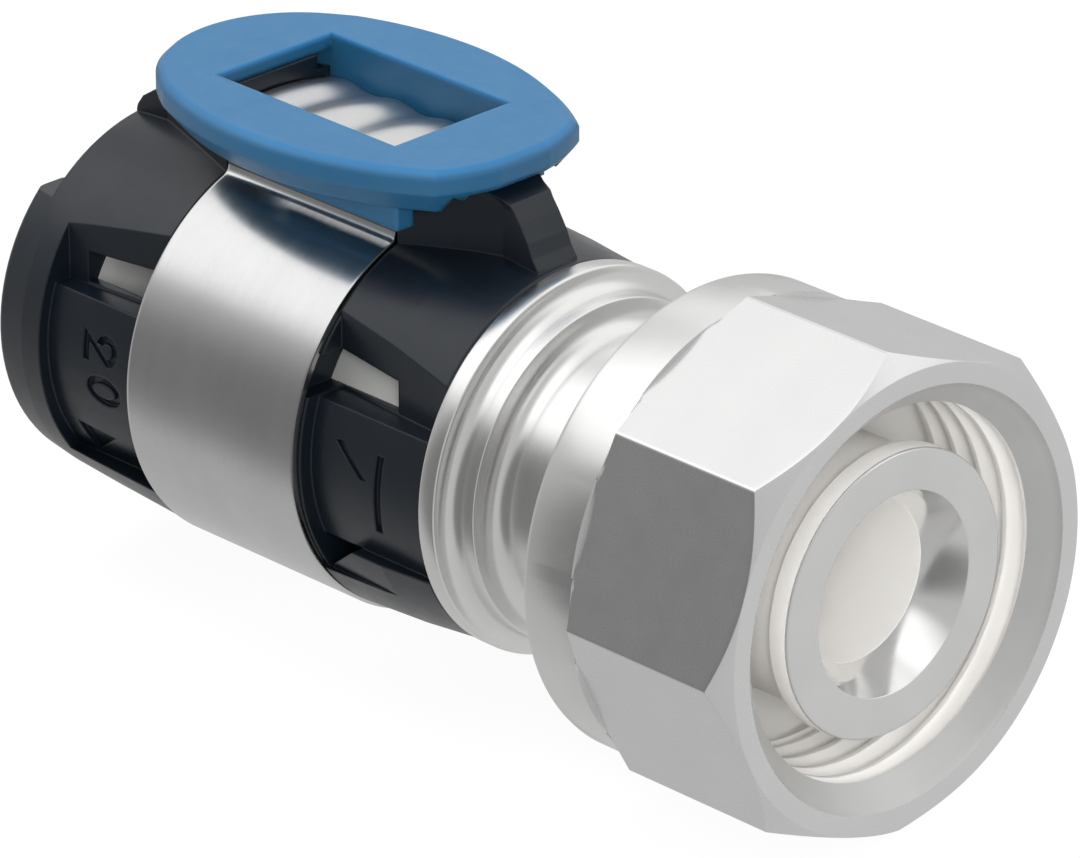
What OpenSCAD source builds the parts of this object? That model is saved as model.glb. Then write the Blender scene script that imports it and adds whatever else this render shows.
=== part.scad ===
// Union nut connector: a pressed adaptor from a plastic pipe to a flat sealed union.
// Millimetres. The bore axis is X, and X = 0 is the tail's sealing face, which looks along +X.
// The clamp's ear and its indicator point up, along +Z. The pipe goes in from -X.

/* [Tail] */
// Diameter of the tail and of its sealing face
tail_d = 18.5; // [17.5:0.1:19.5]
// Diameter of the flow bore
flow_d = 10.4; // [8:0.1:11]
// Diameter of the countersink where it opens in the sealing face
countersink_d = 13.2; // [11.5:0.1:15]
// Depth of the countersink
countersink_depth = 2.8; // [1.5:0.1:5]
// Distance from the sealing face back to the step of the flange
tail_length = 25.7; // [25:0.1:32]
// Thickness of the lip between the sealing face and the slip ring's groove
lip_thickness = 1.55; // [1:0.05:2.5]
// Length of the slip ring's groove
groove_length = 11.4; // [6:0.1:11.5]
// Depth of the slip ring's groove
groove_depth = 0.8; // [0.5:0.05:1.1]

/* [Flange] */
// Diameter of the flange
flange_d = 25.3; // [25:0.1:27]
// Thickness of the flange's rim
flange_thickness = 1.4; // [1:0.1:3]
// Diameter of the step in front of the flange
step_d = 22.4; // [20.5:0.1:24.5]
// Length of the step in front of the flange
step_length = 1.0; // [0.4:0.1:2]

/* [Union nut] */
// Distance across opposite flats of the nut
across_flats = 30; // [29:0.5:34]
// Number of flats on the nut
flat_count = 8; // [6:2:12]
// Length of the nut
nut_length = 17.55; // [17:0.05:20]
// How far the nut's mouth stands ahead of the sealing face
nut_lead = 1.2; // [0.4:0.1:2.5]
// Angle of the nut's corners about the bore axis
nut_turn = 3.2; // [0:0.1:45]
// Length of the flats, with their chamfers
flats_length = 13.3; // [11:0.1:14]
// Diameter of the round collar behind the flats
nut_collar_d = 30.7; // [28:0.1:31.5]
// Diameter of the mouth of the nut
mouth_d = 27.2; // [26.5:0.1:28]
// Minor diameter of the nut's thread
thread_minor_d = 24.1; // [23.5:0.1:25]
// Length of the nut's thread, from the end of the mouth chamfer
thread_length = 7.6; // [5:0.1:8]
// Depth of the relief behind the thread
relief_depth = 0.95; // [0.3:0.05:1.2]

/* [Pipe] */
// Outside diameter of the pipe
pipe_d = 20; // [19.6:0.1:20.4]
// Wall of the pipe
pipe_wall = 2.5; // [2:0.1:2.7]
// How far the pipe goes in, from the sleeve's end to the stop ring
pipe_insertion = 27.2; // [26.5:0.1:28]

/* [Press sleeve] */
// Length of the sleeve
sleeve_length = 39.0; // [39:0.1:41]
// Diameter of the sleeve against the strap
sleeve_d = 26.7; // [26.5:0.05:27.2]
// Diameter of the sleeve at its pipe end
sleeve_end_d = 25.0; // [24:0.1:26]
// Diameter of the sleeve at the flange
sleeve_front_d = 25.1; // [24.6:0.1:25.3]
// Depth of the marked recesses in the sleeve's sides
recess_depth = 1.1; // [0.6:0.05:1.2]
// Distance between the two window flats at the strap, from where they lean outwards
window_flats = 18.6; // [18.4:0.1:19.4]
// Height of the inspection windows
window_height = 2.6; // [1.2:0.1:2.8]
// Depth of the marks in the recesses
mark_depth = 0.35; // [0.1:0.05:0.5]

/* [Strap] */
// Width of the strap along the pipe
strap_width = 15.15; // [14.5:0.05:15.3]
// Thickness of the strap
strap_thickness = 0.45; // [0.3:0.05:0.6]
// Width of the ear across the pipe
ear_width = 9.0; // [8:0.1:9.3]
// Height of the ear above the bore axis
ear_top = 17.2; // [16.8:0.1:17.4]
// Distance between two crests of the ear
wave_pitch = 5.5; // [3.5:0.1:8]
// Height of the ear's crests above its hollows
wave_height = 0.7; // [0.3:0.05:1]

/* [Indicator] */
// Length of the indicator along the pipe
indicator_length = 29.4; // [28.5:0.1:30.5]
// Width of the indicator across the pipe
indicator_width = 20.6; // [20:0.1:23]
// Thickness of the indicator's rim
rim_thickness = 1.0; // [0.7:0.05:1.5]
// Length of the indicator's opening
opening_length = 16.1; // [15.5:0.1:17]
// Width of the indicator's opening
opening_width = 9.9; // [9.6:0.1:10.4]
// How far the indicator's skirt hangs below the top of the rails
skirt_depth = 3.8; // [2.5:0.1:4.2]

/* [Rails] */
// Height of the rails' top above the bore axis
rail_top = 18.2; // [17.8:0.1:19]
// Thickness of a rail's head at its side edges
rail_head = 1.05; // [0.8:0.05:1.3]
// Width of a rail's head
rail_head_width = 6.8; // [5:0.1:8.6]
// Width of a rail's stem
rail_stem_width = 3.4; // [2.4:0.1:4.4]

/* [Hidden] */
$fn = 96;

// Fits and small edges
running_gap = 0.08;
seat_gap = 0.05;
o_ring_gap = 0.02;
side_gap = 0.2;
edge = 0.2;
over = 1;

// Tail, from the sealing face backwards
tail_r = tail_d / 2;
groove_r = tail_r - groove_depth;
groove_end = -lip_thickness - groove_length;
step_front = -tail_length;
flange_front = step_front - step_length;
flange_back = flange_front - flange_thickness;
neck_fillet = 0.55;

// Spigot, hub and nipple behind the flange
spigot_r = 9.2;
spigot_back = flange_back - 3.1;
snap_depth = 0.4;
snap_length = 0.9;
snap_front = flange_back - 1.1;
nipple_r = pipe_d / 2 - pipe_wall - seat_gap;
hub_r = nipple_r + 1.05;
sleeve_back = flange_back - sleeve_length;
stop_back = sleeve_back + pipe_insertion;
hub_reach = 1.5;
hub_back = stop_back + hub_reach;
nipple_inset = 1.1;
nipple_back = sleeve_back + nipple_inset;
o_ring_d = 1.8;
o_ring_seat_depth = 1.35;
o_ring_seat_r = nipple_r - o_ring_seat_depth;
o_ring_groove = 2.4;
o_ring_inset = 4.6;
o_ring_pitch = 6.0;
front_o_ring_at = stop_back - o_ring_inset;
rear_o_ring_at = front_o_ring_at - o_ring_pitch;
grip_count = 2;
grip_pitch = 1.8;
grip_width = 1.1;
grip_depth = 0.45;
grip_inset = 2.1;
grip_front = front_o_ring_at - grip_inset;
lead_length = 1.8;
lead_depth = 0.8;

// Nut and slip ring
nut_front = nut_lead;
nut_back = nut_front - nut_length;
flats_back = nut_front - flats_length;
corner_r = across_flats / 2 / cos(180 / flat_count);
nut_blank_r = corner_r + 0.35;
nut_chamfer_r = across_flats / 2 + 0.1;
rear_chamfer_r = corner_r - 0.75;
nut_collar_r = nut_collar_d / 2;
nut_collar_edge = 0.6;
rear_chamfer = 1.6;
mouth_r = mouth_d / 2;
minor_r = thread_minor_d / 2;
relief_r = minor_r + relief_depth;
thread_front = nut_front - (mouth_r - minor_r);
thread_back = thread_front - thread_length;
thread_runout = 0.6;
nut_bore_r = tail_r + running_gap;
ring_thickness = 1.2;
ring_inner_r = groove_r + running_gap;
ring_outer_r = tail_r + 1.05;
ring_slot = 2.0;
ring_back = groove_end + side_gap / 2;
ring_front = ring_back + ring_thickness;
nut_groove_r = ring_outer_r + running_gap;
nut_shoulder = ring_front + 0.9;
relief_back = thread_back - 1.6;

// Sleeve
bore_r = pipe_d / 2 + 0.1;
sleeve_r = sleeve_d / 2;
sleeve_end_r = sleeve_end_d / 2;
sleeve_front_r = sleeve_front_d / 2;
mouth_round = 0.6;
mouth_chamfer = 0.8;
flare = [[2.7, 0.18], [6.5, 0.45]];
strap_reach = 28.7;
strap_front = sleeve_back + strap_reach;
strap_back = strap_front - strap_width;
strap_middle = (strap_front + strap_back) / 2;
strap_r = sleeve_r + strap_thickness - 0.35;
strap_seat_r = strap_r - strap_thickness - seat_gap;
recess_floor_r = sleeve_end_r + 0.6 - recess_depth;
recess_high = 9.8;
recess_corner = 1.5;
rear_recess_back = sleeve_back + 4.5;
rear_recess_low = -7.6;
front_recess_low = -5.1;
ledge_depth = 0.45;
ledge_length = 6.7;
notch_depth = 0.8;
notch_length = 3.4;
sharp = 0.01;
flat_lean = 0.7;
flat_low = 4.25;
window_low = 4.4;
rear_window_back = sleeve_back + 6.15;
front_window_front = flange_back - 4.7;
window_slope = 0.5;
top_cut_height = 8.7;
top_cut_length = 1.9;
digit_height = 3.2;
digit_width = 2.1;
digit_stroke = 0.55;
digit_inset = 9.5;
digit_at = sleeve_back + digit_inset;
digit_two_high = 2.4;
digit_zero_middle = -1.5;
digit_zero_slip = 0.1;
wedge_mark = [[-3.5, -4.9], [-0.1, -5.2], [-3.1, -7.3]];
long_stroke = [[-8.1, 2.2], [-5.8, 0.2], [-5.2, 0.3], [-7.5, 2.3]];
short_stroke = [[-4.4, 2.3], [-3.8, 2.3], [-4.1, -3.0], [-4.7, -3.0]];

// Strap's ear
ear_half = ear_width / 2;
ear_foot = sqrt(pow(strap_r, 2) - pow(ear_half, 2)) - 0.25;
ear_crown_r = 22;
wave_count = 3;
wave_steps = 16;

// Indicator
top_z = rail_top + rim_thickness;
rim_low = rail_top - 0.5;
skirt_low = rail_top - skirt_depth;
skirt_wall = 1.4;
flank_low = rail_top - 2.1;
flank_inset = 1.3;
notch_half = 4.0;
notch_top = rail_top - 0.9;
lip_back = 1.3;
indicator_half = indicator_width / 2;
indicator_middle = strap_middle - 0.2;
indicator_back = indicator_middle - indicator_length / 2;
indicator_front = indicator_middle + indicator_length / 2;
side_arc_r = 23;
tail_arc_r = 8.8;
shoulder_arc_r = 30;
shoulder_angle = 125;
corner_arc_r = 11.9;
corner_arc_offset = 0.15;
nose_arc_r = 60;
rim_edge = 0.5;
channel_half = opening_width / 2;
skirt_front = strap_front + 2.1;
skirt_back = strap_back + 4.7;
skirt_slant = 1.8;

// Rails
rail_half = rail_head_width / 2;
stem_half = rail_stem_width / 2;
wing_low = rail_top - rail_head;
wing_fillet = 1.2;
rail_foot = 11.2;
rail_taper = 3;
front_rail_end = flange_back - 0.6;
rear_rail_end = sleeve_back + 1.8;

// Faces of the rails' outer ends, as distances in from the foot and heights below the rails' top
front_lean = [[0, 5.6], [0.5, 4.9], [0.9, 4.0], [1.6, 2.9], [2.4, 1.85], [4.3, 1.1], [4.5, 0]];
rear_lean = [[0, 5.9], [0.2, 5.2], [0.7, 4.5], [1.6, 3.9], [3.3, 2.8], [4.7, 1.8], [6.0, 1.0], [6.6, 0]];

// Points along an arc, as [station, radius] or [x, y] pairs.
function arc(middle, radius, from, to, steps = 5) = [
  for (i = [0:steps])
    let (angle = from + (to - from) * i / steps)
    middle + radius * [cos(angle), sin(angle)]
];

// Solid turned about the bore axis from [station, radius] points.
module turned(outline) {
  rotate([0, 90, 0])
    rotate_extrude()
      polygon([for (point = outline) [point[1], point[0]]]);
}

// Prism across the pipe from an outline of [x, z] points.
module across(outline, width) {
  rotate([90, 0, 0])
    linear_extrude(height = width, center = true)
      polygon(outline);
}

// Upright prism from an outline of [x, y] points.
module upright(outline, low, high) {
  translate([0, 0, low])
    linear_extrude(height = high - low)
      polygon(outline);
}

// Block between two corners.
module block(low, high) {
  translate(low)
    cube(high - low);
}

module union_nut() {
  color("silver")
    difference() {
      union() {
        intersection() {
          translate([flats_back, 0, 0])
            rotate([nut_turn, 0, 0])
              rotate([0, 90, 0])
                cylinder(h = flats_length, r = corner_r, $fn = flat_count);
          turned([
            [flats_back, 0],
            [flats_back, rear_chamfer_r],
            [flats_back + rear_chamfer, nut_blank_r],
            [nut_front - (nut_blank_r - nut_chamfer_r), nut_blank_r],
            [nut_front, nut_chamfer_r],
            [nut_front, 0]
          ]);
        }
        turned(concat(
          [[flats_back + edge, 0], [nut_back, 0]],
          arc([nut_back + nut_collar_edge, nut_collar_r - nut_collar_edge], nut_collar_edge, 180, 90),
          [[flats_back + edge, nut_collar_r]]
        ));
      }
      turned([
        [nut_front + over, 0],
        [nut_front + over, mouth_r + over],
        [thread_front, minor_r],
        [thread_back, minor_r],
        [thread_back - thread_runout, relief_r],
        [relief_back, relief_r],
        [nut_shoulder, nut_groove_r],
        [nut_shoulder, nut_bore_r],
        [nut_back + edge, nut_bore_r],
        [nut_back - over, nut_bore_r + edge + over],
        [nut_back - over, 0]
      ]);
      turned([
        [ring_front + side_gap / 2, 0],
        [ring_front + side_gap / 2, nut_groove_r],
        [ring_back - side_gap / 2, nut_groove_r],
        [ring_back - side_gap / 2, 0]
      ]);
    }
}

module fitting_body() {
  color("gainsboro")
    difference() {
      turned(concat(
        [
          [0, 0],
          [0, tail_r - edge],
          [-edge, tail_r],
          [-lip_thickness, tail_r],
          [-lip_thickness, groove_r],
          [groove_end, groove_r],
          [groove_end, tail_r]
        ],
        arc([step_front + neck_fillet, tail_r + neck_fillet], neck_fillet, 270, 180),
        [
          [step_front, step_d / 2 - edge],
          [step_front - edge, step_d / 2],
          [flange_front, step_d / 2],
          [flange_front, flange_d / 2 - edge],
          [flange_front - edge, flange_d / 2],
          [flange_back, flange_d / 2],
          [flange_back, spigot_r],
          [snap_front, spigot_r],
          [snap_front, spigot_r - snap_depth],
          [snap_front - snap_length, spigot_r - snap_depth],
          [snap_front - snap_length, spigot_r],
          [spigot_back + edge, spigot_r],
          [spigot_back, spigot_r - edge],
          [spigot_back, hub_r],
          [hub_back, hub_r],
          [hub_back - (hub_r - nipple_r), nipple_r],
          [nipple_back + lead_length, nipple_r],
          [nipple_back, nipple_r - lead_depth],
          [nipple_back, 0]
        ]
      ));
      turned([
        [over, 0],
        [over, countersink_d / 2 + over * (countersink_d - flow_d) / 2 / countersink_depth],
        [-countersink_depth, flow_d / 2],
        [nipple_back - over, flow_d / 2],
        [nipple_back - over, 0]
      ]);
      for (at = [front_o_ring_at, rear_o_ring_at])
        nipple_groove(at, o_ring_groove, nipple_r - o_ring_seat_r);
      for (i = [0:grip_count - 1])
        nipple_groove(grip_front - i * grip_pitch, grip_width, grip_depth);
    }
}

// Square groove round the nipple, centred on a station.
module nipple_groove(at, width, depth) {
  turned([
    [at - width / 2, nipple_r - depth],
    [at - width / 2, nipple_r + over],
    [at + width / 2, nipple_r + over],
    [at + width / 2, nipple_r - depth]
  ]);
}

// Split ring that travels with the nut and stops against the tail's lip.
module slip_ring() {
  color("dimgray")
    difference() {
      turned([
        [ring_back, ring_inner_r],
        [ring_back, ring_outer_r],
        [ring_front, ring_outer_r],
        [ring_front, ring_inner_r]
      ]);
      block(
        [ring_back - over, -ring_slot / 2, -ring_outer_r - over],
        [ring_front + over, ring_slot / 2, 0]
      );
    }
}

module o_ring(at) {
  translate([at, 0, 0])
    rotate([0, 90, 0])
      rotate_extrude()
        translate([o_ring_seat_r + o_ring_gap + o_ring_d / 2, 0])
          circle(d = o_ring_d, $fn = 24);
}

module front_o_ring() {
  color("black")
    o_ring(front_o_ring_at);
}

module rear_o_ring() {
  color("black")
    o_ring(rear_o_ring_at);
}

module stop_ring() {
  color("beige")
    turned([
      [stop_back, hub_r + seat_gap],
      [stop_back, bore_r - seat_gap],
      [spigot_back, bore_r - seat_gap],
      [spigot_back, hub_r + seat_gap]
    ]);
}

// Tapered outside of the sleeve, with the strap's seat.
module sleeve_outside() {
  turned(concat(
    [[sleeve_back, 0]],
    arc([sleeve_back + mouth_round, sleeve_end_r - edge / 2 - mouth_round], mouth_round, 180, 100),
    [for (step = flare) [sleeve_back + step[0], sleeve_end_r + step[1]]],
    [
      [strap_back - side_gap, sleeve_r],
      [strap_back - side_gap, strap_seat_r],
      [strap_front + side_gap, strap_seat_r],
      [strap_front + side_gap, sleeve_r - edge / 2],
      [(strap_front + flange_back) / 2, (sleeve_r + sleeve_front_r) / 2 + seat_gap],
      [flange_back - edge, sleeve_front_r],
      [flange_back, sleeve_front_r - edge],
      [flange_back, 0]
    ]
  ));
}

// Head and stem that hold one end of the indicator. The outer end leans back towards the strap.
module rail(strap_side, outer_end, lean) {
  way = sign(outer_end - strap_side);
  intersection() {
    across(concat(
      [[strap_side, rail_top], [strap_side, rail_foot], [outer_end, rail_foot]],
      [for (step = lean) [outer_end - way * step[0], rail_top - step[1]]]
    ), ear_width + over);
    union() {
      upright([
        [strap_side, -ear_half],
        [strap_side, ear_half],
        [outer_end - way * rail_taper, stem_half],
        [outer_end, stem_half],
        [outer_end, -stem_half],
        [outer_end - way * rail_taper, -stem_half]
      ], rail_foot, wing_low);
      rail_head(min(strap_side, outer_end), abs(outer_end - strap_side));
    }
  }
}

// Top of a rail: two wings with a hollow under each.
module rail_head(start, length) {
  translate([start, 0, 0])
    rotate([90, 0, 90])
      linear_extrude(height = length)
        polygon(concat(
          [[-rail_half, rail_top], [-rail_half, wing_low]],
          arc([-stem_half - wing_fillet, wing_low - wing_fillet], wing_fillet, 90, 0),
          arc([stem_half + wing_fillet, wing_low - wing_fillet], wing_fillet, 180, 90),
          [[rail_half, wing_low], [rail_half, rail_top]]
        ));
}

// Outline of a side recess between two heights, with one upper corner rounded.
function recess_outline(strap_side, outer_end, low, high, corner) =
  let (way = sign(outer_end - strap_side))
  concat(
    [[strap_side, low], [strap_side, high]],
    [
      for (point = arc([-corner, -corner], corner, 90, 0, 4))
        [outer_end + way * point[0], high + point[1]]
    ],
    [[outer_end, low]]
  );

// Cut into both sides of the sleeve down to a floor radius.
module side_recess(outline, floor_r) {
  difference() {
    across(outline, 2 * (sleeve_r + over));
    turned([
      [sleeve_back - over, 0],
      [sleeve_back - over, floor_r],
      [flange_back + 2 * over, floor_r],
      [flange_back + 2 * over, 0]
    ]);
  }
}

// Cut into both sides of the sleeve down to two flats, which lean outwards away from the strap.
module side_flat(outline, strap_side, outer_end) {
  inner = window_flats / 2;
  outer = inner + flat_lean;
  difference() {
    across(outline, 2 * (sleeve_r + over));
    upright([
      [strap_side, -inner],
      [strap_side, inner],
      [outer_end, outer],
      [outer_end, -outer]
    ], 0, rail_top);
  }
}

// Outline of a digit two that reads downwards, with its foot towards the pipe.
function digit_two(foot, high) =
  let (top = foot + digit_height, low = high - digit_width)
  concat(
    [
      [foot, high],
      [foot, low],
      [foot + digit_stroke, low],
      [foot + digit_stroke, high - 1.5 * digit_stroke]
    ],
    arc([top - digit_width / 2, high - digit_width / 2], digit_width / 2, -90, 160, 8),
    arc([top - digit_width / 2, high - digit_width / 2], digit_width / 2 - digit_stroke, 150, -80, 8)
  );

// Outline moved along the pipe.
function moved(outline, by) = [for (point = outline) [point[0] + by, point[1]]];

// Outline of an oval with its long side along the pipe.
function oval(middle, length, width) = [
  for (angle = [0:20:340])
    middle + [length / 2 * cos(angle), width / 2 * sin(angle)]
];

// Pipe size and a wedge mark in the rear recess, and two strokes in the front one.
module marks() {
  floor_r = recess_floor_r - mark_depth;
  zero_middle = [digit_at + digit_zero_slip, digit_zero_middle];
  intersection() {
    union() {
      side_recess(digit_two(digit_at - digit_height / 2 - digit_zero_slip, digit_two_high), floor_r);
      difference() {
        side_recess(oval(zero_middle, digit_height, digit_width), floor_r);
        side_recess(
          oval(zero_middle, digit_height - 2 * digit_stroke, digit_width - 2 * digit_stroke),
          floor_r
        );
      }
      side_recess(moved(wedge_mark, digit_at), floor_r);
      side_recess(moved(long_stroke, flange_back), floor_r);
      side_recess(moved(short_stroke, flange_back), floor_r);
    }
    block([sleeve_back, -sleeve_r - over, -sleeve_r], [flange_back, 0, sleeve_r]);
  }
}

// Slots through to the pipe, with a top edge that falls away from the strap.
module windows() {
  for (slot = [[strap_back + over, rear_window_back], [strap_front - over, front_window_front]])
    across([
      [slot[0], window_low],
      [slot[0], window_low + window_height],
      [slot[1], window_low + window_height - window_slope],
      [slot[1], window_low]
    ], 2 * (sleeve_r + over));
}

module press_sleeve() {
  rear_edge = strap_back - side_gap;
  front_edge = strap_front + side_gap;
  front_end = flange_back + over;
  color("darkslategray")
    difference() {
      union() {
        sleeve_outside();
        rail(front_edge, front_rail_end, front_lean);
        rail(rear_edge, rear_rail_end, rear_lean);
      }
      turned([
        [sleeve_back - over, 0],
        [sleeve_back - over, bore_r + mouth_chamfer + over],
        [sleeve_back + mouth_chamfer, bore_r],
        [spigot_back, bore_r],
        [spigot_back, spigot_r + seat_gap],
        [flange_back + over, spigot_r + seat_gap],
        [flange_back + over, 0]
      ]);
      block(
        [sleeve_back - over, -sleeve_r, top_cut_height],
        [sleeve_back + top_cut_length, sleeve_r, rail_top]
      );
      side_recess(
        recess_outline(rear_edge, rear_recess_back, rear_recess_low, flat_low, sharp),
        recess_floor_r
      );
      side_recess(
        recess_outline(front_edge, front_end, front_recess_low, flat_low, sharp),
        recess_floor_r
      );
      side_recess(
        recess_outline(front_edge, front_edge + ledge_length, rear_recess_low, front_recess_low, sharp),
        sleeve_r - ledge_depth
      );
      side_recess(
        [
          [front_edge, front_recess_low],
          [front_edge + notch_length, front_recess_low],
          [front_edge, rear_recess_low]
        ],
        recess_floor_r - notch_depth
      );
      side_flat(
        recess_outline(rear_edge, rear_recess_back, flat_low, recess_high, recess_corner),
        rear_edge,
        rear_recess_back
      );
      side_flat(
        recess_outline(front_edge, front_end, flat_low, recess_high, sharp),
        front_edge,
        front_end
      );
      windows();
      marks();
    }
}

module press_strap() {
  color("lightgray")
    difference() {
      union() {
        turned([
          [strap_back, strap_r - strap_thickness],
          [strap_back, strap_r],
          [strap_front, strap_r],
          [strap_front, strap_r - strap_thickness]
        ]);
        ear(0, 0);
      }
      ear(strap_thickness, over);
    }
}

// Ear of the strap, or the hollow inside it when a wall is given.
module ear(wall, extra) {
  crown_r = ear_crown_r - wall;
  intersection() {
    across(wave_outline(wall > 0 ? 0 : ear_foot, ear_top - wall, extra), ear_width - 2 * wall);
    translate([strap_back - extra, 0, ear_top - ear_crown_r])
      rotate([0, 90, 0])
        cylinder(h = strap_width + 2 * extra, r = crown_r);
  }
}

// Outline of the ear from the side, with its crests.
function wave_outline(low, high, extra = 0) =
  let (length = strap_width + 2 * extra)
  concat(
    [[strap_middle + length / 2, low], [strap_middle - length / 2, low]],
    [
      for (i = [0:wave_count * wave_steps])
        let (x = -length / 2 + length * i / (wave_count * wave_steps))
        [strap_middle + x, high - wave_height / 2 + wave_height / 2 * cos(360 * x / wave_pitch)]
    ]
  );

// Lens shaped slice of the indicator, drawn in by an inset at its lower and at its upper end.
module lens(low, high, inset_low, inset_high) {
  tail_middle = indicator_back + tail_arc_r;
  shoulder = tail_arc_r - shoulder_arc_r;
  shoulder_x = tail_middle + shoulder * cos(shoulder_angle);
  shoulder_y = shoulder * sin(shoulder_angle);
  corner_middle = indicator_front - corner_arc_r + corner_arc_offset;
  intersection() {
    arc_pair(low, high, inset_low, inset_high, [
      [indicator_middle, indicator_half - side_arc_r, side_arc_r],
      [indicator_middle, side_arc_r - indicator_half, side_arc_r]
    ]);
    arc_pair(low, high, inset_low, inset_high, [
      [shoulder_x, shoulder_y, shoulder_arc_r],
      [shoulder_x, -shoulder_y, shoulder_arc_r]
    ]);
    lens_arc(low, high, inset_low, inset_high, [indicator_front - nose_arc_r, 0, nose_arc_r]);
    union() {
      lens_arc(low, high, inset_low, inset_high, [tail_middle, 0, tail_arc_r]);
      block(
        [tail_middle + tail_arc_r * cos(shoulder_angle), -indicator_half, low],
        [indicator_front, indicator_half, high]
      );
    }
    union() {
      lens_arc(low, high, inset_low, inset_high, [corner_middle, 0, corner_arc_r]);
      block([indicator_back, -indicator_half, low], [corner_middle, indicator_half, high]);
    }
  }
}

// Overlap of two lens arcs.
module arc_pair(low, high, inset_low, inset_high, arcs) {
  intersection() {
    lens_arc(low, high, inset_low, inset_high, arcs[0]);
    lens_arc(low, high, inset_low, inset_high, arcs[1]);
  }
}

// Disc that bounds one part of the lens, given as [x, y, radius].
module lens_arc(low, high, inset_low, inset_high, arc) {
  translate([arc[0], arc[1], low])
    cylinder(h = high - low, r1 = arc[2] - inset_low, r2 = arc[2] - inset_high);
}

module press_indicator() {
  opening_half = opening_length / 2;
  skirt_half = opening_width / 2 + skirt_wall;
  color("steelblue")
    difference() {
      union() {
        lens(top_z - rim_edge, top_z, 0, rim_edge);
        lens(rim_low, top_z - rim_edge, 0, 0);
        lens(flank_low, rim_low, flank_inset, 0);
        across([
          [skirt_back, skirt_low],
          [skirt_front, skirt_low],
          [skirt_front, rail_top],
          [skirt_back - skirt_slant - (rail_top - skirt_low - skirt_slant / 2), rail_top],
          [skirt_back - skirt_slant, skirt_low + skirt_slant / 2]
        ], 2 * skirt_half);
      }
      block(
        [strap_middle - opening_half, -opening_width / 2, skirt_low - over],
        [strap_middle + opening_half, opening_width / 2, top_z + over]
      );
      block(
        [indicator_back + lip_back, -channel_half, skirt_low - over],
        [indicator_front - lip_back, channel_half, rail_top]
      );
      block(
        [indicator_back - over, -notch_half, skirt_low - over],
        [indicator_front + over, notch_half, notch_top]
      );
    }
}

union_nut();
fitting_body();
slip_ring();
front_o_ring();
rear_o_ring();
stop_ring();
press_sleeve();
press_strap();
press_indicator();
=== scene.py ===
import math

import bmesh
import bpy
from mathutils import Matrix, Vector


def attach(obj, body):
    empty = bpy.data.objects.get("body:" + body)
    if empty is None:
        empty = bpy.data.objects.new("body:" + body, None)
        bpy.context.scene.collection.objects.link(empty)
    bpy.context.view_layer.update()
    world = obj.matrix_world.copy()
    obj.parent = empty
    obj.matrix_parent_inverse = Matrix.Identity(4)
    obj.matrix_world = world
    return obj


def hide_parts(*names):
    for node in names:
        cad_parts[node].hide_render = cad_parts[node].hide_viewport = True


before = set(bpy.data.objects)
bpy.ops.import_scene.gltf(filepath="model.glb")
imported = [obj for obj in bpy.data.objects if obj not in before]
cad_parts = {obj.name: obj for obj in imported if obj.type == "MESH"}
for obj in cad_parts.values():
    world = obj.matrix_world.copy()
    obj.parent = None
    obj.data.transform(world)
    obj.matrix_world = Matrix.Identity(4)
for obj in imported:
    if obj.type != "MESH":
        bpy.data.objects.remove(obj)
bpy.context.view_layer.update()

# Shapes are in millimetres and degrees, and looks and lights in metres.
MM = 0.001


# Node helpers

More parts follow.
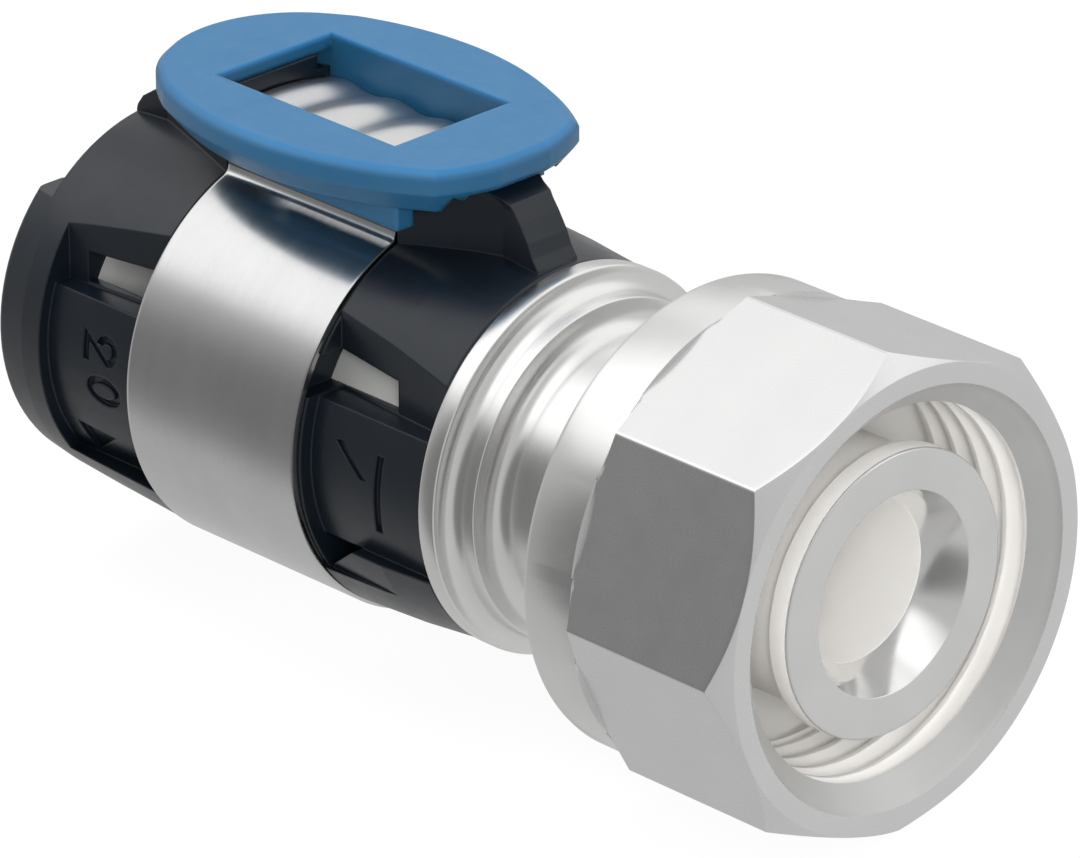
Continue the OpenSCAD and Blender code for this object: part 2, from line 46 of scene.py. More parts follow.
class Nodes:
    """Small wrapper that adds and links shader nodes."""

    def __init__(self, tree):
        self.tree = tree
        tree.nodes.clear()

    def add(self, kind, **settings):
        node = self.tree.nodes.new(kind)
        for name, value in settings.items():
            if name.startswith("in_"):
                node.inputs[name[3:].replace("_", " ")].default_value = value
            else:
                setattr(node, name, value)
        return node

    def link(self, out_socket, in_socket):
        self.tree.links.new(out_socket, in_socket)

    def value(self, socket, into):
        if isinstance(socket, (int, float)):
            into.default_value = socket
        else:
            self.link(socket, into)

    def math(self, operation, a, b=0.0):
        node = self.add("ShaderNodeMath", operation=operation)
        self.value(a, node.inputs[0])
        self.value(b, node.inputs[1])
        return node.outputs[0]

    def product(self, first, *others):
        for other in others:
            first = self.math("MULTIPLY", first, other)
        return first

    def remap(self, socket, from_low, from_high, to_low, to_high, kind="LINEAR"):
        node = self.add("ShaderNodeMapRange", interpolation_type=kind)
        self.link(socket, node.inputs["Value"])
        for name, number in (
            ("From Min", from_low), ("From Max", from_high), ("To Min", to_low), ("To Max", to_high)
        ):
            node.inputs[name].default_value = number
        return node.outputs["Result"]

    def object_point(self):
        return self.add("ShaderNodeTexCoord").outputs["Object"]

    def around(self, along, across, radial):
        """Coordinates that follow the bore: stretched round it by 1/across, along it by 1/along."""
        parts = self.add("ShaderNodeSeparateXYZ")
        self.link(self.object_point(), parts.inputs[0])
        angle = self.math("ARCTAN2", parts.outputs["Z"], parts.outputs["Y"])
        square = self.math(
            "ADD",
            self.math("MULTIPLY", parts.outputs["Y"], parts.outputs["Y"]),
            self.math("MULTIPLY", parts.outputs["Z"], parts.outputs["Z"]),
        )
        radius = self.math("SQRT", square)
        joined = self.add("ShaderNodeCombineXYZ")
        self.link(self.math("MULTIPLY", parts.outputs["X"], along), joined.inputs[0])
        self.link(self.math("MULTIPLY", angle, across), joined.inputs[1])
        self.link(self.math("MULTIPLY", radius, radial), joined.inputs[2])
        return joined.outputs[0]

    def noise(self, vector, scale, detail=3.0, roughness=0.5):
        node = self.add("ShaderNodeTexNoise")
        self.link(vector, node.inputs["Vector"])
        node.inputs["Scale"].default_value = scale
        node.inputs["Detail"].default_value = detail
        node.inputs["Roughness"].default_value = roughness
        return node.outputs["Fac"]

    def mix(self, factor, low, high):
        node = self.add("ShaderNodeMix", data_type="RGBA")
        self.link(factor, node.inputs["Factor"])
        node.inputs["A"].default_value = (*low, 1)
        node.inputs["B"].default_value = (*high, 1)
        return node.outputs["Result"]

    def bump(self, height, strength, distance, normal=None):
        node = self.add("ShaderNodeBump")
        node.inputs["Strength"].default_value = strength
        node.inputs["Distance"].default_value = distance
        self.link(height, node.inputs["Height"])
        if normal is not None:
            self.link(normal, node.inputs["Normal"])
        return node.outputs["Normal"]

    def soft_edge(self, radius):
        node = self.add("ShaderNodeBevel", samples=6)
        node.inputs["Radius"].default_value = radius
        return node.outputs["Normal"]


def material(name):
    made = bpy.data.materials.new(name)
    made.use_nodes = True
    nodes = Nodes(made.node_tree)
    shader = nodes.add("ShaderNodeBsdfPrincipled")
    out = nodes.add("ShaderNodeOutputMaterial")
    nodes.link(shader.outputs["BSDF"], out.inputs["Surface"])
    return made, nodes, shader.inputs


# Materials

MARK_HEIGHT = 0.00002
GRAIN_HEIGHT = 0.00003
# Heights and tint of the painted shade on the side walls of the blue cap, below its top edge.
SIDE_SHADE_START_Z = 0.01905
SIDE_SHADE_FULL_Z = 0.01875
SIDE_SHADE_TINT = (0.62, 0.62, 0.6, 1)


def plated_metal(name, low, high, rough_low, rough_high, turned, metallic=1.0):
    """Satin plated brass: lathe marks round the bore, faint clouds, softer and rougher patches."""
    made, nodes, shader = material(name)
    shader["Metallic"].default_value = metallic
    clouds = nodes.noise(nodes.object_point(), 260, 4)
    nodes.link(nodes.mix(nodes.remap(clouds, 0.35, 0.7, 0, 1), low, high), shader["Base Color"])
    marks = nodes.noise(nodes.around(9000, 1.2, 9000), 1.0, 2)
    patches = nodes.noise(nodes.object_point(), 520, 5, 0.6)
    blend = nodes.math("ADD", nodes.product(marks, 0.35), nodes.product(patches, 0.65))
    nodes.link(nodes.remap(blend, 0.3, 0.7, rough_low, rough_high), shader["Roughness"])
    nodes.link(nodes.bump(marks, turned, MARK_HEIGHT), shader["Normal"])
    return made


def brushed_strap(name, rough_low, rough_high):
    """Stainless band, brushed round the clamp, with a few longer scratches."""
    made, nodes, shader = material(name)
    shader["Metallic"].default_value = 1.0
    grain = nodes.noise(nodes.around(14000, 26, 300), 1.0, 3, 0.6)
    scratch = nodes.noise(nodes.around(2600, 3, 100), 1.0, 4, 0.7)
    clouds = nodes.noise(nodes.object_point(), 210, 3)
    tone = nodes.math("ADD", nodes.product(grain, 0.4), nodes.product(clouds, 0.6))
    share = nodes.remap(tone, 0.35, 0.65, 0, 1)
    nodes.link(nodes.mix(share, (0.61, 0.615, 0.615), (0.67, 0.67, 0.665)), shader["Base Color"])
    nodes.link(nodes.remap(scratch, 0.3, 0.75, rough_low, rough_high), shader["Roughness"])
    nodes.link(nodes.bump(grain, 0.05, MARK_HEIGHT), shader["Normal"])
    return made


def moulded(name, low, high, rough_low, rough_high, grain, edge_radius, depth=0.0):
    """Moulded plastic: fine spark-eroded grain, slow colour drift and rubbed patches.

    With a depth, light passes into it, and painted shade makes it darker below its top edge, on its
    side walls.
    """
    made, nodes, shader = material(name)
    if depth:
        shader["Subsurface Weight"].default_value = depth
        shader["Subsurface Radius"].default_value = (0.25, 0.8, 1.3)
        shader["Subsurface Scale"].default_value = 0.0012
    point = nodes.object_point()
    drift = nodes.noise(point, 140, 4, 0.6)
    colour = nodes.mix(nodes.remap(drift, 0.3, 0.7, 0, 1), low, high)
    # Painted shade: below the top edge the colour is multiplied darker, as if the sides got less
    # light than the top.
    if depth:
        parts = nodes.add("ShaderNodeSeparateXYZ")
        nodes.link(point, parts.inputs[0])
        side_shade = nodes.add("ShaderNodeMix", data_type="RGBA", blend_type="MULTIPLY")
        shade_amount = nodes.remap(parts.outputs["Z"], SIDE_SHADE_START_Z, SIDE_SHADE_FULL_Z, 0, 1, "SMOOTHSTEP")
        nodes.link(shade_amount, side_shade.inputs["Factor"])
        nodes.link(colour, side_shade.inputs["A"])
        side_shade.inputs["B"].default_value = SIDE_SHADE_TINT
        colour = side_shade.outputs["Result"]
    nodes.link(colour, shader["Base Color"])
    rubbed = nodes.noise(point, 620, 5, 0.65)
    nodes.link(nodes.remap(rubbed, 0.3, 0.7, rough_low, rough_high), shader["Roughness"])
    texture = nodes.noise(point, 2600, 2)
    start = nodes.soft_edge(edge_radius) if edge_radius else None
    nodes.link(nodes.bump(texture, grain, GRAIN_HEIGHT, start), shader["Normal"])
    return made


metal_nut = plated_metal(
    "satin_plated_nut", (0.765, 0.77, 0.765), (0.79, 0.79, 0.785), 0.25, 0.29, 0.012
)
metal_body = plated_metal(
    "satin_plated_body", (0.78, 0.78, 0.77), (0.82, 0.815, 0.805), 0.21, 0.28, 0.06
)
# Painted light: a paler, barely metallic copy of the plating for the thread, the bore and the
# tail's side, so these hollows look lit.
metal_inside_painted_light = plated_metal(
    "matte_plated_inside_painted_light", (0.9, 0.885, 0.86), (0.93, 0.915, 0.89), 0.42, 0.5, 0.04, metallic=0.2
)
# Painted light: a lighter, half metallic copy of the plating for the nipple, which sits in shade
# inside the sleeve.
metal_nipple_painted_light = plated_metal(
    "satin_plated_nipple_painted_light", (0.82, 0.815, 0.8), (0.86, 0.855, 0.84), 0.34, 0.42, 0.08, metallic=0.5
)
# Partly a rougher turned finish, partly painted shade: a darker copy of the nut's plating on the
# mouth chamfer.
metal_mouth_painted_shade = plated_metal(
    "turned_plated_mouth_painted_shade", (0.68, 0.68, 0.67), (0.72, 0.72, 0.71), 0.48, 0.56, 0.05
)
metal_cone = plated_metal(
    "bright_plated_cone", (0.8, 0.8, 0.79), (0.84, 0.835, 0.825), 0.1, 0.15, 0.03
)
metal_ring = plated_metal("spring_steel", (0.4, 0.4, 0.4), (0.5, 0.5, 0.5), 0.3, 0.45, 0.05)
strap_steel = brushed_strap("brushed_stainless", 0.19, 0.25)
ear_steel = brushed_strap("pressed_stainless", 0.3, 0.38)
# Painted shade: a dark copy of the band's stainless for the ear walls that stand under the cap.
strap_wall_painted_shade = plated_metal("painted_shade_stainless", (0.2, 0.2, 0.2), (0.26, 0.26, 0.26), 0.5, 0.6, 0.05)
black_plastic = moulded(
    "black_moulding", (0.003, 0.006, 0.01), (0.005, 0.008, 0.013), 0.28, 0.36, 0.07, 0.00018
)
# Its sides below the top edge carry painted shade.
blue_plastic = moulded(
    "blue_moulding", (0.02, 0.148, 0.315), (0.025, 0.16, 0.335), 0.36, 0.46, 0.05, 0.0004, depth=0.5
)
pale_plastic = moulded(
    "pale_moulding", (0.3, 0.31, 0.3), (0.35, 0.355, 0.345), 0.4, 0.5, 0.05, 0.0002
)
seal_rubber = moulded(
    "seal_rubber", (0.012, 0.012, 0.012), (0.02, 0.02, 0.02), 0.5, 0.62, 0.1, 0.0
)


# Mesh helpers

def finish_mesh(name, verts, faces, mats, slots=None, angle=35):
    mesh = bpy.data.meshes.new(name)
    mesh.from_pydata([tuple(c * MM for c in v) for v in verts], [], faces)
    for mat in mats:
        mesh.materials.append(mat)
    if slots:
        mesh.polygons.foreach_set("material_index", slots)
    mesh.polygons.foreach_set("use_smooth", [True] * len(mesh.polygons))
    mesh.validate()
    mesh.set_sharp_from_angle(angle=math.radians(angle))
    piece = bpy.data.objects.new(name, mesh)
    bpy.context.collection.objects.link(piece)
    return piece


def rounded(points, radii, steps=4):
    """Replaces each corner of a closed outline by an arc where its radius isn't 0."""
    out = []
    count = len(points)
    for i, (x, y) in enumerate(points):
        radius = radii[i]
        px, py = points[i - 1]
        nx, ny = points[(i + 1) % count]
        to_prev = Vector((px - x, py - y))
        to_next = Vector((nx - x, ny - y))
        if radius <= 0 or to_prev.length < 1e-6 or to_next.length < 1e-6:
            out.append((x, y))
            continue
        a, b = to_prev.normalized(), to_next.normalized()
        half = a.angle(b) / 2
        reach = radius / math.tan(half)
        most = 0.48 * min(to_prev.length, to_next.length)
        if reach > most:
            reach = most
            radius = reach * math.tan(half)
        centre = Vector((x, y)) + (a + b).normalized() * (radius / math.sin(half))
        start = Vector((x, y)) + a * reach - centre
        turn = math.pi - 2 * half
        sign = 1 if start.cross(Vector((x, y)) + b * reach - centre) > 0 else -1
        for k in range(steps + 1):
            t = sign * turn * k / steps
            c, s = math.cos(t), math.sin(t)
            out.append((centre.x + start.x * c - start.y * s, centre.y + start.x * s + start.y * c))
    return out


def lathe(name, outline, radii, mat, segments=224):
    """Closed (station, radius) outline turned about the bore axis."""
    ring = rounded(outline, radii)
    count = len(ring)
    verts = []
    for k in range(segments):
        angle = 2 * math.pi * k / segments
        verts += [(x, r * math.cos(angle), r * math.sin(angle)) for x, r in ring]
    faces = []
    for k in range(segments):
        a, b = k * count, ((k + 1) % segments) * count
        for i in range(count):
            j = (i + 1) % count
            faces.append((a + i, a + j, b + j, b + i))
    return finish_mesh(name, verts, faces, [mat])


def clamped(value):
    return min(1.0, max(0.0, value))


def outward(piece):
    """Makes the faces of a closed mesh look out."""
    work = bmesh.new()
    work.from_mesh(piece.data)
    bmesh.ops.recalc_face_normals(work, faces=work.faces)
    work.to_mesh(piece.data)
    work.free()


# Union nut

NUT_FRONT = 1.2
NUT_BACK = -16.35
FLATS_BACK = -12.1
APOTHEM = 15.0
CORNER_ROUND = 0.14
NUT_TURN = 3.2
FACE_R = 14.96
FLARE_LENGTH = 0.6
COLLAR_R = 15.36
MOUTH_R = 13.6
MINOR_R = 12.05
THREAD_FRONT = NUT_FRONT - (MOUTH_R - MINOR_R)
THREAD_LENGTH = 7.6
THREAD_BACK = THREAD_FRONT - THREAD_LENGTH
PITCH = 1.814
THREAD_DEPTH = 0.95
CREST_SHARE = 0.16
FLANK_SHARE = 0.62
LEAD_IN = 0.5
LEAD_OUT = 0.6
RELIEF_R = 13.0
RELIEF_BACK = -9.55
BORE_R = 9.33
BORE_CHAMFER = 0.3
SHOULDER = -10.8
RING_GROOVE_R = 10.38
COLLAR_LEAST_R = 14
CORNER_SPAN = 3.2
FLAT_STEPS = 20
BLEND_STEPS = 7
THREAD_STEPS = 92
MOUTH_STEPS = 5
EDGE_STEPS = 3
INSIDE_START = 28


def octagon_angles():
    """Angles about the bore, closer together at the rounded corners."""
    angles = []
    half = [0.2, 0.6, 1.0, 1.5, 2.2, CORNER_SPAN]
    near = [-a for a in reversed(half)] + half
    start, end = CORNER_SPAN, 45 - CORNER_SPAN
    for side in range(8):
        corner = NUT_TURN + 45 * side
        angles += [corner + a for a in near]
        angles += [
            corner + start + (end - start) * k / FLAT_STEPS for k in range(1, FLAT_STEPS)
        ]
    return [math.radians(a) for a in angles]


def octagon_radius(angle):
    """Distance from the axis to the rounded octagon."""
    local = (angle - math.radians(NUT_TURN)) % (math.pi / 4)
    off_flat = local - math.pi / 8
    sharp = APOTHEM / math.cos(off_flat)
    off_corner = min(local, math.pi / 4 - local)
    centre = (APOTHEM - CORNER_ROUND) / math.cos(math.pi / 8)
    side = centre * math.sin(off_corner)
    if side < CORNER_ROUND:
        rounded_r = centre * math.cos(off_corner) + math.sqrt(CORNER_ROUND ** 2 - side ** 2)
        return min(sharp, rounded_r)
    return sharp


def thread_radius(x, angle):
    """Radius of the inside thread, a helix with rounded flanks that runs out at both ends."""
    turn = (x - THREAD_FRONT) / PITCH + angle / (2 * math.pi)
    wave = 1 - abs(2 * (turn % 1.0) - 1)
    root = clamped((wave - CREST_SHARE) / FLANK_SHARE)
    root = root * root * (3 - 2 * root)
    lead_in = clamped((THREAD_FRONT - x) / LEAD_IN)
    lead_out = clamped((x - THREAD_BACK) / LEAD_OUT)
    return MINOR_R + THREAD_DEPTH * root * lead_in * lead_out


def flat_to_collar(flat, rear):
    """Points from the back end of the flats, at one angle, to the round collar behind them."""
    out = []
    for k in range(1, BLEND_STEPS + 1):
        if flat < COLLAR_R:
            out.append((FLATS_BACK - 0.005 * k, flat + (COLLAR_R - flat) * k / BLEND_STEPS))
        else:
            left = (rear - FLATS_BACK) * (BLEND_STEPS - k) / BLEND_STEPS
            x = FLATS_BACK + left - 0.005 * k
            out.append((x, COLLAR_R + ((x - FLATS_BACK) / FLARE_LENGTH) ** 2))
    return out


def make_nut():
    angles = octagon_angles()
    verts, ring_size = [], None
    for angle in angles:
        flat = octagon_radius(angle)
        front = NUT_FRONT - max(flat - FACE_R, 0.02)
        rear = FLATS_BACK + FLARE_LENGTH * math.sqrt(max(flat - COLLAR_R, 0.0))
        outline = [
            (NUT_FRONT, FACE_R), (front, flat), (front - 0.4, flat),
            (rear + 0.2, flat), (rear, flat), *flat_to_collar(flat, rear),
            (NUT_BACK, COLLAR_R), (NUT_BACK, BORE_R + BORE_CHAMFER),
            (NUT_BACK + BORE_CHAMFER, BORE_R), (SHOULDER, BORE_R),
            (SHOULDER, RING_GROOVE_R), (RELIEF_BACK, RELIEF_R),
            (THREAD_BACK - LEAD_OUT, RELIEF_R), (THREAD_BACK, MINOR_R),
        ]
        radii = [0.1, 0.12, 0.0, 0.0, 0.0]
        radii += [0.0] * BLEND_STEPS
        radii += [0.55, 0.1, 0.05, 0.0, 0.0, 0.2, 0.2, 0.1]
        ring = rounded(outline + [(NUT_FRONT, MOUTH_R)], radii + [0.1], EDGE_STEPS)
        ring, edge = ring[:-EDGE_STEPS - 1], ring[-EDGE_STEPS - 1:]
        for k in range(1, THREAD_STEPS):
            x = THREAD_BACK + (THREAD_FRONT - THREAD_BACK) * k / THREAD_STEPS
            ring.append((x, thread_radius(x, angle)))
        ring.append((THREAD_FRONT, MINOR_R))
        for k in range(1, MOUTH_STEPS):
            x = THREAD_FRONT + (NUT_FRONT - THREAD_FRONT) * k / (MOUTH_STEPS + 0.5)
            ring.append((x, MINOR_R + (x - THREAD_FRONT)))
        ring += edge
        ring_size = len(ring)
        verts += [(x, r * math.cos(angle), r * math.sin(angle)) for x, r in ring]
    faces, slots = [], []
    mouth_start = ring_size - EDGE_STEPS - MOUTH_STEPS - 1
    mouth_end = ring_size - 2
    count = len(angles)
    for k in range(count):
        a, b = k * ring_size, ((k + 1) % count) * ring_size
        for i in range(ring_size):
            j = (i + 1) % ring_size
            faces.append((a + i, a + j, b + j, b + i))
            x, y, z = verts[a + i]
            behind_flats = max(x, verts[a + j][0]) < FLATS_BACK - 0.03
            if behind_flats and math.hypot(y, z) > COLLAR_LEAST_R:
                slots.append(2)
            # Slot 1 is the painted-light copy of the plating for the thread and bore.
            elif INSIDE_START <= i < mouth_start:
                # Slot 3 is the painted-shade copy of the plating on the mouth chamfer.
                slots.append(1)
            else:
                slots.append(3 if mouth_start <= i < mouth_end else 0)
    mats = [metal_nut, metal_inside_painted_light, metal_body, metal_mouth_painted_shade]
    piece = finish_mesh("union_nut_turned", verts, faces, mats, slots, 28)
    outward(piece)
    return piece


nut = make_nut()
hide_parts("union_nut")
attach(nut, "nut")


# Fitting body

SPIGOT_R = 9.2
NIPPLE_R = 7.45
HUB_R = 8.5
STOP_BACK = -39.9
HUB_REACH = 1.5
HUB_BACK = STOP_BACK + HUB_REACH
NIPPLE_BACK = -66.0
NECK_R = 9.25
HUB_FRONT = -24.7
COLLAR_STEP_R = 11.2
FLANGE_FRONT = -26.7
FLANGE_BACK = -28.1
FLANGE_R = 12.65
FLOW_R = 5.2
HUB_FILLET = 1.35
FLANGE_FILLET = 1.1
FILLET_STEPS = 8
CONE_R = 6.6
CONE_BACK = -2.8
LIP_BACK = -1.55
SLIDE_R = 8.45
SLIDE_BACK = -12.95
SNAP_R = 8.8
SNAP_FRONT = -29.2
SNAP_BACK = -30.1
SPIGOT_BACK = -31.2
O_RING_SEAT = (2.4, 1.35)
GRIP_GROOVE = (0.9, 0.45)


def hollow_corner(face_x, floor_r, radius):
    """Concave fillet from a cylinder up to the face that stands on it, towards the pipe."""
    turns = [math.pi / 2 * k / FILLET_STEPS for k in range(FILLET_STEPS + 1)]
    return [
        (face_x + radius - radius * math.sin(t), floor_r + radius - radius * math.cos(t))
        for t in turns
    ]


def make_body():
    outline = [
        (0.0, CONE_R), (0.0, NECK_R), (LIP_BACK, NECK_R), (LIP_BACK, SLIDE_R),
        (SLIDE_BACK, SLIDE_R), (SLIDE_BACK, NECK_R),
        *hollow_corner(HUB_FRONT, NECK_R, HUB_FILLET), (HUB_FRONT, COLLAR_STEP_R),
        *hollow_corner(FLANGE_FRONT, COLLAR_STEP_R, FLANGE_FILLET),
        (FLANGE_FRONT, FLANGE_R), (FLANGE_BACK, FLANGE_R), (FLANGE_BACK, SPIGOT_R),
        (SNAP_FRONT, SPIGOT_R), (SNAP_FRONT, SNAP_R), (SNAP_BACK, SNAP_R),
        (SNAP_BACK, SPIGOT_R), (SPIGOT_BACK, SPIGOT_R),
        (SPIGOT_BACK, HUB_R), (HUB_BACK, HUB_R), (HUB_BACK - 1.05, NIPPLE_R),
    ]
    hollow = [0.0] * (FILLET_STEPS + 1)
    radii = [
        0.12, 0.2, 0.12, 0.1, 0.2, 0.15,
        *hollow, 0.12, *hollow, 0.35, 0.2, 0.05,
        0.0, 0.0, 0.0, 0.0, 0.15,
        0.1, 0.1, 0.1,
    ]
    grooves = [(STOP_BACK - inset, *O_RING_SEAT) for inset in (4.6, 10.6)]
    grooves += [(STOP_BACK - 6.7 - 1.8 * i, *GRIP_GROOVE) for i in range(2)]
    grooves.sort(reverse=True)
    for at, width, depth in grooves:
        outline += [
            (at + width / 2, NIPPLE_R), (at + width / 2, NIPPLE_R - depth),
            (at - width / 2, NIPPLE_R - depth), (at - width / 2, NIPPLE_R),
        ]
        radii += [0.12, 0.08, 0.08, 0.12]
    outline += [
        (NIPPLE_BACK + 1.8, NIPPLE_R), (NIPPLE_BACK, NIPPLE_R - 0.8),
        (NIPPLE_BACK, FLOW_R), (CONE_BACK, FLOW_R),
    ]
    radii += [0.3, 0.2, 0.15, 0.25]
    piece = lathe("fitting_body_turned", outline, radii, metal_body)
    piece.data.materials.append(metal_inside_painted_light)
    piece.data.materials.append(metal_cone)
    piece.data.materials.append(metal_nipple_painted_light)
    for face in piece.data.polygons:
        x = face.center.x / MM
        r = math.hypot(face.center.y, face.center.z) / MM
        bore_wall = r < FLOW_R + 0.05
        if not bore_wall and CONE_BACK < x < -0.02 and r < CONE_R + 0.02:
            face.material_index = 2
        # The bore and the tail's side take the painted-light copy of the plating.
        if bore_wall or (SLIDE_BACK - 0.25 < x < -0.2 and r > SLIDE_R - 0.05):
            face.material_index = 1
        # The nipple takes its own painted-light copy of the plating.
        elif x < SPIGOT_BACK - 0.1:
            face.material_index = 3
    outward(piece)
    return piece


body = make_body()
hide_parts("fitting_body")
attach(body, "fitting")


# Strap

STRAP_BACK = -53.55
STRAP_FRONT = -38.4
STRAP_R = 13.45
SHEET = 0.45
EAR_HALF = 4.5
EAR_TOP = 17.2
EAR_CROWN_R = 22.0
WAVE_PITCH = 4.7
WAVE_HEIGHT = 0.35
WAVE_CREST = -52.8
WAVE_SLANT = 0.18
WAVE_FLOOR = 15.2
WAVE_RISE = 1.3
EAR_FACE_Z = 16.4
EAR_FOOT_Z = 13.1
BAND_STEPS = 200
CROWN_STEPS = 16
STRAP_STEPS = 76


def strap_section():
    """Outer outline of the strap from the foot of one ear wall, round the pipe and up the other."""
    foot_z = math.sqrt(STRAP_R ** 2 - EAR_HALF ** 2)
    start = math.atan2(foot_z, -EAR_HALF)
    end = 2 * math.pi + math.atan2(foot_z, EAR_HALF)
    bend = 0.12
    turns = [start + (end - start) * k / BAND_STEPS for k in range(1, BAND_STEPS)]
    band = [
        (STRAP_R * math.cos(t), STRAP_R * math.sin(t))
        for t in turns
        if start + bend / 2 < t < end - bend / 2
    ]
    edge_z = EAR_TOP - EAR_CROWN_R + math.sqrt(EAR_CROWN_R ** 2 - EAR_HALF ** 2)
    crown = [
        (y, EAR_TOP - EAR_CROWN_R + math.sqrt(EAR_CROWN_R ** 2 - y * y))
        for y in (EAR_HALF - 2 * EAR_HALF * k / CROWN_STEPS for k in range(1, CROWN_STEPS))
    ]
    right_wall = rounded(
        [band[-1], (EAR_HALF, foot_z), (EAR_HALF, edge_z), crown[0]], [0, 0.7, 0.8, 0], 5
    )[1:-1]
    left_wall = [(-y, z) for y, z in reversed(right_wall)]
    return band, right_wall, crown, left_wall


def make_strap():
    band, right_wall, crown, left_wall = strap_section()
    loop = band + right_wall + crown + left_wall
    verts = []
    for i in range(STRAP_STEPS + 1):
        x = STRAP_BACK + (STRAP_FRONT - STRAP_BACK) * i / STRAP_STEPS
        for y, z in loop:
            turn = 2 * math.pi * (x - WAVE_CREST - WAVE_SLANT * y) / WAVE_PITCH
            wave = WAVE_HEIGHT / 2 * (math.cos(turn) - 1)
            on_ear = abs(y) <= EAR_HALF + 0.01
            weight = clamped((z - WAVE_FLOOR) / WAVE_RISE) if on_ear else 0.0
            verts.append((x, y, z + wave * weight))
    count = len(loop)
    faces, slots = [], []
    for i in range(STRAP_STEPS):
        a, b = i * count, (i + 1) * count
        for k in range(count):
            j = (k + 1) % count
            faces.append((a + k, a + j, b + j, b + k))
            y, z = (loop[k][0] + loop[j][0]) / 2, (loop[k][1] + loop[j][1]) / 2
            on_wall = abs(abs(y) - EAR_HALF) < 0.1 and z > EAR_FOOT_Z
            # The ear walls take the painted-shade copy of the stainless.
            slots.append(2 if z > EAR_FACE_Z else 1 if on_wall else 0)
    mats = [strap_steel, strap_wall_painted_shade, ear_steel]
    piece = finish_mesh("press_strap_formed", verts, faces, mats, slots, 60)
    outward(piece)
    thick = piece.modifiers.new("sheet", "SOLIDIFY")
    thick.thickness = SHEET * MM
    thick.offset = -1
    thick.use_even_offset = True
    edges = piece.modifiers.new("edges", "BEVEL")
    edges.width = 0.1 * MM
    edges.segments = 2
    edges.limit_method = "ANGLE"
    edges.angle_limit = math.radians(50)
    return piece


strap = make_strap()
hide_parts("press_strap")
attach(strap, "fitting")


# Looks of the pieces that stay as CAD solids

for node_name, mat in (
    ("slip_ring", metal_ring),
    ("front_o_ring", seal_rubber),
    ("rear_o_ring", seal_rubber),
    ("stop_ring", pale_plastic),
    ("press_sleeve", black_plastic),
    ("press_indicator", blue_plastic),
):
    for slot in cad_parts[node_name].material_slots:
        slot.material = mat


# Floor and lights

FLOOR_Z = -0.0168
FLOOR_HALF = 4.0
CARD_SIDE = (-0.25, -0.95, -0.15)


def make_floor():
    mesh = bpy.data.meshes.new("floor")
    corners = [(-1, -1), (1, -1), (1, 1), (-1, 1)]
    verts = [(x * FLOOR_HALF, y * FLOOR_HALF, FLOOR_Z) for x, y in corners]
    mesh.from_pydata(verts, [], [(0, 1, 2, 3)])
    piece = bpy.data.objects.new("floor", mesh)
    bpy.context.collection.objects.link(piece)
    made = bpy.data.materials.new("pale_floor")
    made.use_nodes = True
    nodes = Nodes(made.node_tree)
    rays = nodes.add("ShaderNodeLightPath")
    paper = nodes.add("ShaderNodeBsdfDiffuse")
    paper.inputs["Color"].default_value = (0.82, 0.82, 0.82, 1)
    white = nodes.add("ShaderNodeEmission")
    white.inputs["Color"].default_value = (1, 1, 1, 1)
    white.inputs["Strength"].default_value = 1.04
    seen = nodes.add("ShaderNodeMixShader")
    nodes.link(nodes.math("MULTIPLY", rays.outputs["Is Camera Ray"], 0.9), seen.inputs["Fac"])
    nodes.link(paper.outputs[0], seen.inputs[1])
    nodes.link(white.outputs[0], seen.inputs[2])
    out = nodes.add("ShaderNodeOutputMaterial")
    nodes.link(seen.outputs[0], out.inputs["Surface"])
    mesh.materials.append(made)
    piece.visible_glossy = False


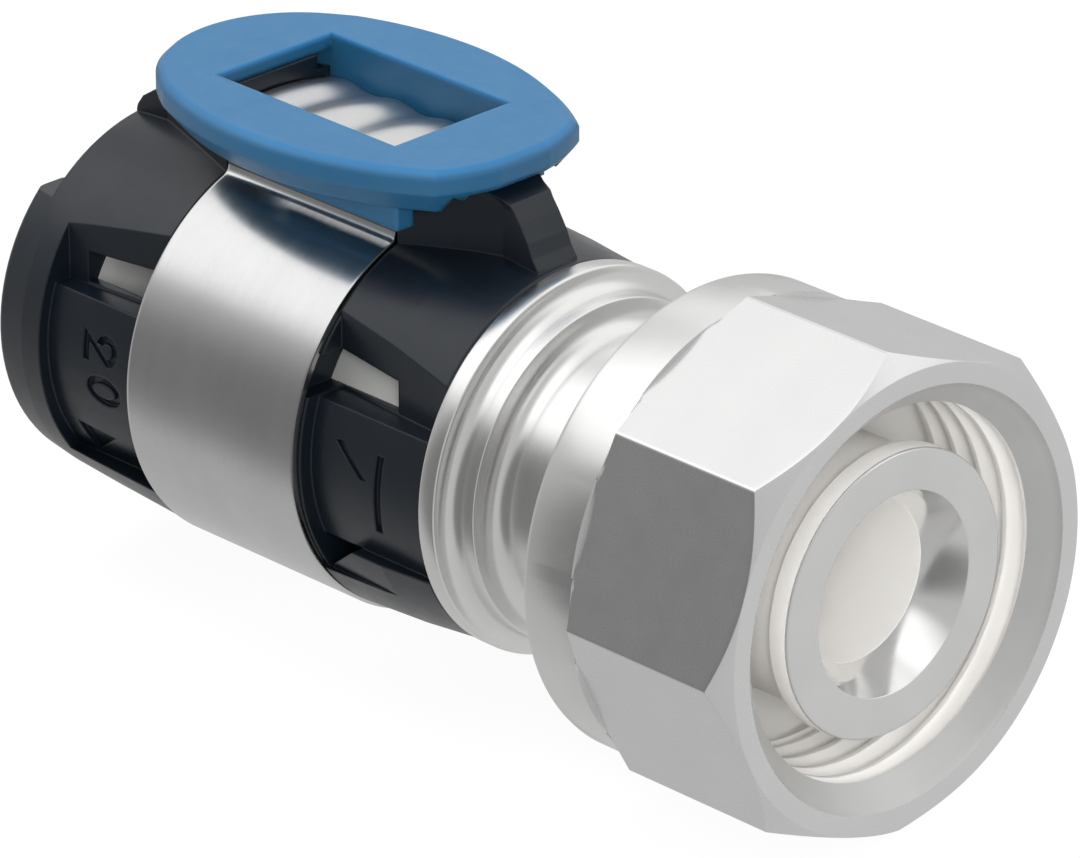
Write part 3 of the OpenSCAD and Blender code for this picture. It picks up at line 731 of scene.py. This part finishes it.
def make_world():
    """White to the camera. In reflections: a bright top box, a pale back and a dark card."""
    world = bpy.data.worlds.new("studio")
    bpy.context.scene.world = world
    world.use_nodes = True
    nodes = Nodes(world.node_tree)
    rays = nodes.add("ShaderNodeLightPath")
    where = nodes.add("ShaderNodeTexCoord")

    def toward(direction):
        node = nodes.add("ShaderNodeVectorMath", operation="DOT_PRODUCT")
        nodes.link(where.outputs["Generated"], node.inputs[0])
        node.inputs[1].default_value = Vector(direction).normalized()
        return node.outputs["Value"]

    def background(strength):
        node = nodes.add("ShaderNodeBackground")
        node.inputs["Color"].default_value = (1, 1, 1, 1)
        nodes.value(strength, node.inputs["Strength"])
        return node

    parts = nodes.add("ShaderNodeSeparateXYZ")
    nodes.link(where.outputs["Generated"], parts.inputs[0])
    x, y, z = parts.outputs
    up = nodes.math("MAXIMUM", z, 0.02)
    side = nodes.math("DIVIDE", y, up)
    end = nodes.math("DIVIDE", x, up)
    box = nodes.product(
        nodes.remap(side, -1.7, -0.8, 0, 1, "SMOOTHSTEP"),
        nodes.remap(side, 0.65, -0.25, 0, 1, "SMOOTHSTEP"),
        nodes.remap(end, -2.4, -1.7, 0, 1, "SMOOTHSTEP"),
        nodes.remap(end, 0.7, 0.2, 0, 1, "SMOOTHSTEP"),
    )
    base = nodes.math("ADD", nodes.product(x, 0.05), nodes.product(y, 0.06))
    base = nodes.math("ADD", base, 0.6)
    back = nodes.product(
        nodes.remap(y, 0.15, 0.5, 0, 0.45, "SMOOTHSTEP"),
        nodes.remap(z, 0.2, 0.55, 0, 1, "SMOOTHSTEP"),
    )
    base = nodes.math("ADD", base, back)
    card = nodes.remap(toward(CARD_SIDE), 0.70, 0.88, 1.0, 0.4, "SMOOTHSTEP")
    tone = nodes.math("ADD", nodes.product(base, card), nodes.product(box, 0.85))
    glossy, plain, white = background(tone), background(0.62), background(1.0)
    first = nodes.add("ShaderNodeMixShader")
    nodes.link(rays.outputs["Is Glossy Ray"], first.inputs["Fac"])
    nodes.link(plain.outputs[0], first.inputs[1])
    nodes.link(glossy.outputs[0], first.inputs[2])
    second = nodes.add("ShaderNodeMixShader")
    direct = nodes.math(
        "MAXIMUM", rays.outputs["Is Camera Ray"], rays.outputs["Is Transmission Ray"]
    )
    nodes.link(direct, second.inputs["Fac"])
    nodes.link(first.outputs[0], second.inputs[1])
    nodes.link(white.outputs[0], second.inputs[2])
    out = nodes.add("ShaderNodeOutputWorld")
    nodes.link(second.outputs[0], out.inputs["Surface"])


def area_light(name, place, size, energy, aim=(-0.03, 0, 0)):
    light = bpy.data.lights.new(name, "AREA")
    light.shape = "SQUARE"
    light.size = size
    light.energy = energy
    lamp = bpy.data.objects.new(name, light)
    bpy.context.collection.objects.link(lamp)
    lamp.location = place
    lamp.rotation_mode = "QUATERNION"
    lamp.rotation_quaternion = (Vector(aim) - Vector(place)).to_track_quat("-Z", "Y")
    lamp.visible_glossy = False


make_floor()
make_world()
area_light("top_box", (-0.2, -0.1, 0.5), 0.35, 1.4)
area_light("front_fill", (0.42, -0.38, 0.27), 0.2, 2.4)
area_light("mouth_fill", (0.36, 0.2, 0.26), 0.15, 0.4)

CAMERA_PLACE = (0.32948, -0.35436, 0.23368)
CAMERA_AZIMUTH = 45.43
CAMERA_ELEVATION = 24.74
CAMERA_LENS = 298.82


def make_camera():
    data = bpy.data.cameras.new("camera")
    data.sensor_fit = "HORIZONTAL"
    data.sensor_width = 36.0
    data.lens = CAMERA_LENS
    data.clip_start = 0.01
    data.clip_end = 20
    camera = bpy.data.objects.new("camera", data)
    bpy.context.collection.objects.link(camera)
    bpy.context.scene.camera = camera
    azimuth, elevation = math.radians(CAMERA_AZIMUTH), math.radians(CAMERA_ELEVATION)
    forward = Vector((
        -math.sin(azimuth) * math.cos(elevation),
        math.cos(azimuth) * math.cos(elevation),
        -math.sin(elevation),
    ))
    camera.location = CAMERA_PLACE
    camera.rotation_mode = "QUATERNION"
    camera.rotation_quaternion = forward.to_track_quat("-Z", "Y")


make_camera()
bpy.context.scene.view_settings.view_transform = "Standard"
